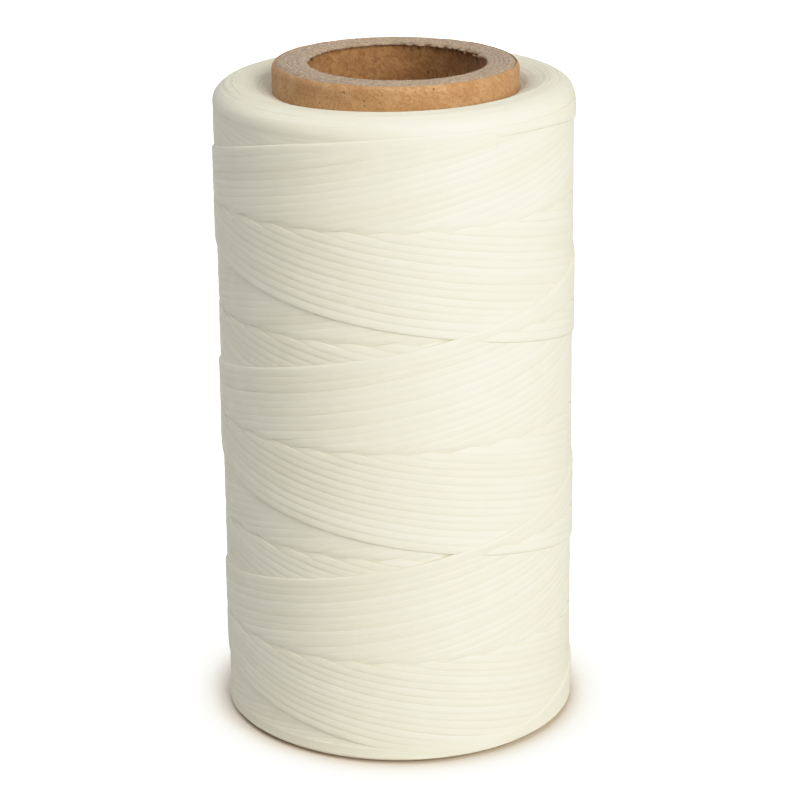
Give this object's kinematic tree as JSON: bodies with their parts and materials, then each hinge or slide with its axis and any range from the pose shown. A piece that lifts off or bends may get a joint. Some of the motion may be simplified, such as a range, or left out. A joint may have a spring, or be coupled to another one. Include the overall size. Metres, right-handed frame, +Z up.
{
  "type": "thread spool",
  "caption": "Round spool of flat waxed sewing thread, cross-wound on a laminated cardboard tube that stands on its end or slips over a spindle.",
  "frame": {"origin": "centre of the core's lower end, where the spool stands on a surface", "axes": "+Z up the core's axis, out of the end that stands proud of the thread; X and Y are any two directions across it"},
  "size_m": [0.051, 0.051, 0.095],
  "materials": {
    "liner_paper": "matte",
    "grey_board": "matte",
    "kraft_paper": "matte",
    "waxed_thread": "satin"
  },
  "bodies": {
    "root": {"core_inner_liner": "liner_paper", "core_board_ply_1": "grey_board", "core_board_ply_2": "grey_board", "core_board_ply_3": "grey_board", "core_board_ply_4": "grey_board", "core_board_ply_5": "grey_board", "core_board_ply_6": "grey_board", "core_outer_wrap": "kraft_paper", "wound_thread": "waxed_thread"}
  },
  "joints": []
}
